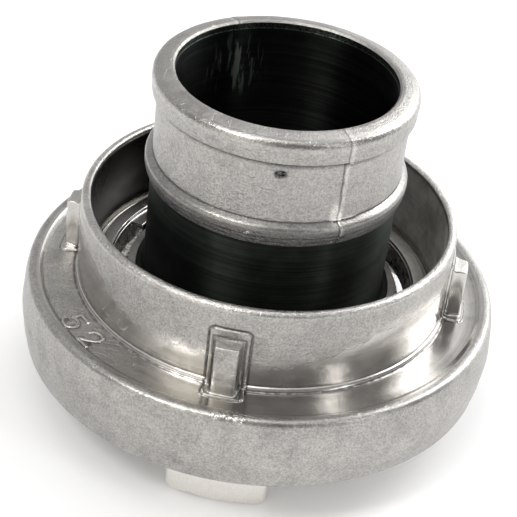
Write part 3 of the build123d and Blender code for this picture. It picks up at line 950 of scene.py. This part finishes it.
def cast_ring_material(finish):
    """Cast aluminium of the ring: grainy rim and upper collar, smoother dish and collar foot; painted shade on the
    inner wall's left side and painted light on its right, painted shade in the recesses, painted highlights on the
    crown and the window sills.
    """
    material, t, shader = new_material("cast_ring_skin")
    grain, wear, marks = (t.effect(name) for name in ("cast_grain", "wear_and_crease_shade", "handling_marks"))
    lines = t.effect("turning_lines", Pitch=0.5)
    at, radius, axes = t.places()
    height, x = axes["Z"], axes["X"]
    side = t.ramp(radius, 47.0, 47.8)
    rise = t.ramp(x, -20.0, -38.0, 0.0, 8.0) + t.ramp(x, 8.0, 32.0, 0.0, 6.0)
    rise = rise + (t.noise(at, 0.22, 3.0, 0.6) - 0.5) * 5.0
    flank = t.band(radius, 40.9, 1.0, 1.3) * t.fall(height, 37.8, 38.6)
    upper = t.ramp(height - rise, 32.0, 35.4) * t.ramp(radius, COLLAR_WALL_R, 38.8) * (1.0 - flank)
    crown = t.ramp(height, CROWN_Z, 44.7)
    dish = t.ramp(x, -14.0, -30.0) * t.ramp(height, 27.6, 27.2)
    grainy = t.most(t.most(side, upper), t.most(crown, dish * 0.85))
    inside = t.fall(radius, COLLAR_WALL_R, 38.5)
    inner = inside * (t.ramp(height, 44.6, 44.0) * t.ramp(height, WEB_Z, 29.6))
    under = t.most(t.fall(radius, 43.0, 43.2) * t.fall(height, 25.4, 25.8), inside * t.fall(height, 27.3, 27.9))
    shaded_recess = under * t.ramp(height, 12.0, 13.2)
    claws = t.fall(height, 10.9, 11.4)
    rough_skin = t.blend(grain["Tone"], 0.75, 1.19) * t.blend(grain["Cloud"], 0.9, 1.06)
    smooth_skin = t.blend(lines["Tone"], 1.19, 1.39) * t.blend(grain["Tone"], 0.95, 1.04)
    level = t.tint(t.blend(grainy, smooth_skin, rough_skin), marks["Smudge"], 0.86)
    # Painted shade and light on the inner wall: near black on the left side, lighter on the right.
    level = t.tint(level, inner, t.blend(grain["Cloud"], 0.75, 1.1) * t.ramp(x, -ACROSS_X, ACROSS_X, 0.045, 1.3))
    # Painted shade in the recesses: the windows and the ring's inside below the rim are darkened.
    level = t.tint(level, shaded_recess, 0.13)
    # Painted highlight: a bright strip on the outer wall of each window, under the land.
    sill_highlight = t.ramp(radius, LAND_R - 1.3, LAND_R - 1.1) * t.fall(radius, LAND_R + 0.2, LAND_R + 0.4)
    sill_highlight = sill_highlight * (t.ramp(height, ROOF_Z - 0.2, ROOF_Z + 0.2) * t.fall(height, WEB_Z - 0.25, WEB_Z - 0.1))
    level = t.blend(claws, t.blend(sill_highlight, level, 1.9), t.blend(grain["Tone"], 1.9, 2.1))
    # Worn edges are lighter; the collar's crown gets a painted highlight.
    level = t.blend(wear["Mask"], t.tint(level, crown, 1.25), 1.5)
    burr = t.near(t.scaled(at, BURR_STRETCH), BURR_AT, 0.5, 2.2) * t.ramp(t.noise(at, 0.5, 2.0, 0.6), 0.42, 0.58)
    level = t.blend(burr * t.ramp(grain["Tone"], 0.45, 0.6), level, 1.9)
    # Painted shade: creases are darkened, and so are the lines round the plinths and the ribs.
    level = t.tint(t.tint(level, wear["Crease"], 0.3), rib_crease_shade(t, axes, radius), 0.42)
    edge = t.ramp(height, 26.6, 27.2) * t.ramp(radius, 46.6, 47.2)
    rough = t.blend(t.most(inner, shaded_recess), t.blend(grainy, 0.21, 0.42), t.ramp(x, -ACROSS_X, ACROSS_X, 0.3, 0.62))
    rough = rough + (grain["Cloud"] - 0.5) * 0.06
    rough = t.blend(t.most(wear["Mask"], burr), t.blend(crown, t.blend(edge, rough, 0.28), 0.29), 0.22)
    patch = t.most(t.near(at, PATCH_AT, 1.5, 4.4), burr)
    relief = (grain["Height"] - marks["Scratch"] * 0.3) * t.blend(grainy, 0.014, t.blend(patch, 0.46, 1.3))
    relief = t.tint(relief, edge, 0.45) + lines["Height"] * t.blend(grainy, 0.012, 0.0)
    feed_shader(t, shader, t.grey(level, finish.cast_colour), rough, relief)
    return material


def cast_tail_material(finish):
    """Cast neck, bead and lip."""
    material, t, shader = new_material("cast_tail_skin")
    grain, wear, marks = (t.effect(name) for name in ("cast_grain", "wear_and_crease_shade", "handling_marks"))
    at, radius, axes = t.places()
    height = axes["Z"]
    top = t.ramp(height, TAIL_TOP - 1.1, TAIL_TOP - 0.7)
    lower = t.fall(height, NECK_Z - 1.6, NECK_Z - 1.1)
    level = t.blend(top, t.blend(grain["Tone"], 0.76, 1.18), t.blend(grain["Tone"], 0.88, 1.06))
    level = level * t.blend(grain["Cloud"], 0.94, 1.05)
    # Painted shade on the bead: darker below the neck's crease, darker still on its lower band.
    level = level * t.blend(lower, t.ramp(height, NECK_Z - 0.1, NECK_Z + 0.1, 0.74, 1.0), 0.46)
    level = t.blend(wear["Mask"], t.tint(level, marks["Smudge"], 0.86), 1.5)
    # Painted shade in the creases.
    level = t.tint(level, wear["Crease"], 0.38)
    # Painted shade in the blow hole: it is darkened in a ragged patch.
    flat = t.scaled(at, (1.0, 1.0, PIT_STRETCH))
    pit = t.near(flat, polar(25.2, math.radians(PIT_DEG), PIT_STRETCH * PIT_Z), 0.8, 1.75)
    level = t.tint(level, pit * t.ramp(t.noise(at, 1.6, 2.0, 0.5), 0.35, 0.55, 0.35, 1.0), 0.12)
    # Painted shade: dark lines in the groove under the lip, in the crease where the bead meets the neck, and along a
    # line on the bead.
    groove = t.band(height, LIP_Z - 0.5, 0.2, 0.95) * t.fall(radius, 25.9, 26.2)
    crease = t.band(height, NECK_Z + 0.1, 0.08, 0.3)
    band = t.band(height, BEAD_Z + 1.15, 0.04, 0.2)
    level = t.tint(level, t.most(groove, t.most(crease * 0.75, band * 0.6)), 0.25)
    around = t.math("ARCTAN2", axes["Y"], axes["X"]) * SEAM_R
    wobble = (t.noise(at, 0.35, 2.0, 0.5) - 0.5) * 0.8
    for seam in SEAM_DEG:
        beside = around - math.radians(seam) * SEAM_R + wobble
        # Painted shade just before each seam's step, painted highlights on its raised side and on its flared foot.
        level = t.tint(level, t.fall(abs(beside + 0.25), 0.05, 0.3), 0.6)
        level = t.tint(level, t.band(beside, 0.45, 0.2, 0.7), 1.3)
        flare = polar(25.5, math.radians(seam) - 0.7 / SEAM_R, FLARE_STRETCH * (NECK_Z + 1.2))
        level = t.tint(level, t.near(t.scaled(at, (1.0, 1.0, FLARE_STRETCH)), flare, 0.5, 1.7), 1.75)
    bead = t.fall(height, NECK_Z - 0.2, NECK_Z + 0.1) * t.ramp(height, NECK_Z - 1.5, NECK_Z - 1.1)
    lip = t.ramp(height, TAIL_TOP - 3.2, TAIL_TOP - 2.2) * t.ramp(radius, 24.6, 25.4)
    polished = t.most(bead, lip)
    lower_half = t.fall(height, NECK_Z - 0.4, NECK_Z + 0.6)
    rough = t.blend(polished, t.blend(grain["Cloud"], 0.38, 0.46), t.blend(lower_half, 0.27, 0.34))
    relief = (grain["Height"] - marks["Scratch"] * 0.3) * t.blend(polished, 0.42, 0.2)
    feed_shader(t, shader, t.grey(level, finish.cast_colour), t.blend(wear["Mask"], rough, 0.22), relief)
    return material


def turned_material(finish, name, depth):
    """Turned tube and bore: a near-black colour painted in for the shade and dark reflections they show, dimmed by
    depth below the bore's mouth, a painted sheen on the bore's far wall, and lathe lines that draw highlights out
    along the axis.
    """
    material, t, shader = new_material(name)
    grain = t.effect("cast_grain")
    lines = t.effect("turning_lines", Pitch=0.42)
    fine = t.effect("turning_lines", Pitch=0.16)
    at, _, axes = t.places()
    dim = t.blend(lines["Tone"], 0.72, 1.3) * t.blend(grain["Cloud"], 0.85, 1.2)
    # Painted sheen: vertical streaks, much lighter, on the bore's far wall round the point given above.
    sheen_streaks = t.ramp(t.noise(t.scaled(at, (1.0, 1.0, 0.16)), 0.9, 3.0, 0.6), 0.52, 0.66)
    dim = t.blend(sheen_streaks * t.near(at, BORE_SHEEN_AT, 4.0, 9.0), dim, 9.0)
    # Below the mouth the colour is multiplied by depth, which paints shade inside the bore; the speckled band at the
    # mouth keeps its cast tone.
    mouth = t.ramp(axes["Z"], TAIL_TOP - 1.9, TAIL_TOP - 1.7)
    dim = dim * t.blend(mouth, depth, t.blend(grain["Tone"], 0.1, 2.4))
    relief = lines["Height"] * 0.036 + fine["Height"] * 0.02
    feed_shader(t, shader, t.grey(dim, finish.turned_colour), t.blend(lines["Tone"], 0.34, 0.42), relief, RIDGE_DEPTH)
    shader.inputs["Anisotropic"].default_value = 0.99
    shader.inputs["Anisotropic Rotation"].default_value = 0.25
    t.feed(shader.inputs["Tangent"], t.value("ShaderNodeTangent", {"direction_type": "RADIAL", "axis": "Z"}))
    return material


def rubber_material(finish):
    """Moulded black rubber with a faint bloom."""
    material, t, shader = new_material("seal_rubber")
    grain = t.effect("cast_grain")
    dark, pale = (tuple(c * by for c in finish.rubber_colour) + (1.0,) for by in (1.0, 1.9))
    colour = t.mix(grain["Cloud"], dark, pale)
    feed_shader(t, shader, colour, t.blend(grain["Tone"], 0.5, 0.62), grain["Height"] * 0.15, metallic=0.0)
    return material


def spring_material(finish):
    """Rolled spring steel with fine lines and a dark oiled film."""
    material, t, shader = new_material("spring_steel")
    grain = t.effect("cast_grain")
    lines = t.effect("turning_lines", Pitch=0.12)
    level = t.blend(lines["Tone"], 0.8, 1.15) * t.blend(grain["Cloud"], 0.75, 1.05)
    colour = t.grey(level, finish.spring_colour)
    feed_shader(t, shader, colour, t.blend(lines["Tone"], 0.3, 0.42), lines["Height"] * 0.08)
    return material


# ---------------------------------------------------------------- stage

# Brightness and warmth of the room at azimuths in degrees, anticlockwise from +X, and of its ceiling
ROOM_LIGHT = (
    (-180, 0.62, 0), (-150, 0.38, 0), (-139, 0.6, 0.3), (-131, 1.5, 1), (-104, 1.5, 1), (-97, 0.34, 0),
    (-41, 0.30, 0), (-36, 0.8, 0), (-27, 0.8, 0), (-22, 0.34, 0), (12, 0.40, 0), (31, 2.1, 0), (76, 2.1, 0),
    (90, 0.58, 0), (106, 0.55, 0), (120, 0.7, 0), (180, 0.62, 0),
)
ROOM_TOP = 0.85
# The ramp of colours holds half the brightness, since its colours end at 1
ROOM_SCALE = 2.0
# Lamps: name, place, height of the point it aims at, size, and share of the key lamp's power
LAMPS = (
    ("key_lamp", (0.50, 0.45, 0.55), 0.04, (0.45, 0.45), 1.0),
    ("top_lamp", (-0.10, -0.12, 0.8), 0.04, (0.35, 0.35), 0.26),
    ("edge_lamp", (-0.31, -0.365, 0.66), 0.04, (0.2, 0.2), 0.6),
    ("strip_lamp", (0.605, -0.364, 0.425), 0.05, (0.024, 0.6), 0.22),
)
CAMERA_PLACE = (0.02438, -0.27864, 0.2218)
# Pan, tilt and roll of the camera, and its turn round the coupling, in degrees
CAMERA_PAN, CAMERA_TILT, CAMERA_ROLL, CAMERA_TURN = -0.22, 34.30, 7.44, 5.0
FLOOR_REACH, FLOOR_Z = 3.0, -0.0002
FLOOR_LIFT = 0.13
WHITE = (1, 1, 1, 1)


def floor_material():
    """White sweep that keeps the coupling's soft shadow."""
    material, t, shader = new_material("white_sweep")
    cloud = t.noise(t.millimetres(), 0.01, 2.0, 0.5)
    t.feed(shader.inputs["Base Color"], t.mix(t.ramp(cloud, 0.3, 0.7), (0.86, 0.86, 0.86, 1), (0.9, 0.9, 0.9, 1)))
    shader.inputs["Roughness"].default_value = 0.85
    shader.inputs["Specular IOR Level"].default_value = 0.2
    rays = t.add("ShaderNodeLightPath").outputs
    seen = t.most(t.most(rays["Is Camera Ray"], rays["Is Glossy Ray"]), rays["Is Transmission Ray"])
    lift = t.add("ShaderNodeEmission", None, Color=WHITE, Strength=seen * FLOOR_LIFT)
    both = t.add("ShaderNodeAddShader", None, i0=shader.outputs[0], i1=lift.outputs[0])
    t.feed(t.tree.get_output_node("ALL").inputs["Surface"], both.outputs[0])
    return material


def studio_world(strength):
    """Room light that changes round the coupling, with a bright ceiling; the camera sees it white."""
    world = bpy.data.worlds.new("studio_room")
    world.use_nodes = True
    world.node_tree.nodes.clear()
    t = Tree(world.node_tree)
    parts = t.parts(t.add("ShaderNodeTexCoord").outputs["Generated"])
    share = t.math("ARCTAN2", parts["Y"], parts["X"]) / (2 * math.pi) + 0.5
    room = t.add("ShaderNodeValToRGB", None, i0=share)
    stops = room.color_ramp.elements
    for k, (azimuth, level, warmth) in enumerate(ROOM_LIGHT):
        at, level = (azimuth + 180) / 360, level / ROOM_SCALE
        stop = stops[k] if k < 2 else stops.new(at)
        stop.position = at
        stop.color = (level, level * (1 - 0.03 * warmth), level * (1 - 0.12 * warmth), 1)
    top = ROOM_TOP / ROOM_SCALE
    sky = t.mix(t.ramp(parts["Z"], 0.72, 0.93), room.outputs[0], (top, top, top, 1))
    seen = t.add("ShaderNodeLightPath").outputs["Is Camera Ray"]
    lit = t.add("ShaderNodeBackground", None, Color=sky, Strength=ROOM_SCALE * strength)
    white = t.add("ShaderNodeBackground", None, Color=WHITE, Strength=1.0)
    mixed = t.add("ShaderNodeMixShader", None, i0=seen, i1=lit.outputs[0], i2=white.outputs[0])
    t.add("ShaderNodeOutputWorld", None, Surface=mixed.outputs[0])
    return world


def area_lamp(name, place, aim_z, size, power):
    """Oblong lamp that shines at a point on the coupling's axis."""
    lamp = bpy.data.lights.new(name, "AREA")
    lamp.shape = "RECTANGLE"
    lamp.size, lamp.size_y = size
    lamp.energy = power
    holder = bpy.data.objects.new(name, lamp)
    holder.location = place
    holder.rotation_euler = (Vector((0, 0, aim_z)) - Vector(place)).to_track_quat("-Z", "Y").to_euler()
    bpy.context.scene.collection.objects.link(holder)


def stage_camera(focal_length):
    """Camera on the near side, looking down on the coupling, held at a slight roll."""
    pan, tilt, roll = math.radians(CAMERA_PAN), math.radians(CAMERA_TILT), math.radians(CAMERA_ROLL)
    forward = Vector((math.sin(pan) * math.cos(tilt), math.cos(pan) * math.cos(tilt), -math.sin(tilt)))
    right = Vector((math.cos(pan), -math.sin(pan), 0))
    up = right.cross(forward)
    across = right * math.cos(roll) + up * math.sin(roll)
    above = up * math.cos(roll) - right * math.sin(roll)
    turn = Matrix.Rotation(math.radians(CAMERA_TURN), 3, "Z")
    axes = Matrix((turn @ across, turn @ above, turn @ -forward)).transposed()
    camera = bpy.data.objects.new("stage_camera", bpy.data.cameras.new("stage_camera"))
    camera.data.lens = focal_length
    camera.data.sensor_width = 36.0
    camera.data.clip_start = 0.01
    camera.data.clip_end = 20.0
    camera.matrix_world = Matrix.Translation(CAMERA_PLACE) @ axes.to_4x4()
    bpy.context.scene.collection.objects.link(camera)
    bpy.context.scene.camera = camera


class OBJECT_OT_coupling_stage(bpy.types.Operator):
    """Makes the white floor, the soft lamps, the room light and the camera"""

    bl_idname = "object.coupling_stage"
    bl_label = "Stage"

    def execute(self, context):
        settings = context.scene.coupling_stage
        corners = [(x * FLOOR_REACH, y * FLOOR_REACH, 0) for x, y in ((-1, -1), (1, -1), (1, 1), (-1, 1))]
        mesh = mesh_from("floor", corners, [(0, 1, 2, 3)])
        mesh.materials.append(floor_material())
        floor = add_piece("floor", mesh)
        floor.location.z = FLOOR_Z
        context.scene.world = studio_world(settings.world_strength)
        for name, place, aim_z, size, share in LAMPS:
            area_lamp(name, place, aim_z, size, settings.key_strength * share)
        stage_camera(settings.focal_length)
        context.scene.view_settings.view_transform = "Standard"
        return {"FINISHED"}


# ---------------------------------------------------------------- panel and registration


class VIEW3D_PT_coupling(bpy.types.Panel):
    """Lists the coupling's pieces and its stage"""

    bl_idname = "VIEW3D_PT_coupling"
    bl_label = "Claw hose coupling"
    bl_space_type = "VIEW_3D"
    bl_region_type = "UI"
    bl_category = "Coupling"

    def draw(self, context):
        for name, operator in zip(SETTINGS, ("coupling_ring", "coupling_tail", "coupling_rings", "coupling_stage")):
            group = getattr(context.scene, name)
            for prop in group.bl_rna.properties:
                if prop.identifier not in ("rna_type", "name"):
                    self.layout.prop(group, prop.identifier)
            self.layout.operator("object." + operator)


SETTINGS = {
    "coupling_ring": CouplingRingSizes,
    "coupling_tail": CouplingTailSizes,
    "coupling_finish": CouplingFinish,
    "coupling_stage": CouplingStage,
}
CLASSES = (
    *SETTINGS.values(),
    OBJECT_OT_coupling_ring,
    OBJECT_OT_coupling_tail,
    OBJECT_OT_coupling_rings,
    OBJECT_OT_coupling_stage,
    VIEW3D_PT_coupling,
)


def register():
    for cls in CLASSES:
        bpy.utils.register_class(cls)
    for name, group in SETTINGS.items():
        setattr(bpy.types.Scene, name, bpy.props.PointerProperty(type=group))


def unregister():
    for name in SETTINGS:
        delattr(bpy.types.Scene, name)
    for cls in reversed(CLASSES):
        bpy.utils.unregister_class(cls)


def main():
    register()
    bpy.ops.object.coupling_stage()
    bpy.ops.object.coupling_ring()
    bpy.ops.object.coupling_tail()
    bpy.ops.object.coupling_rings()


if __name__ == "__main__":
    main()
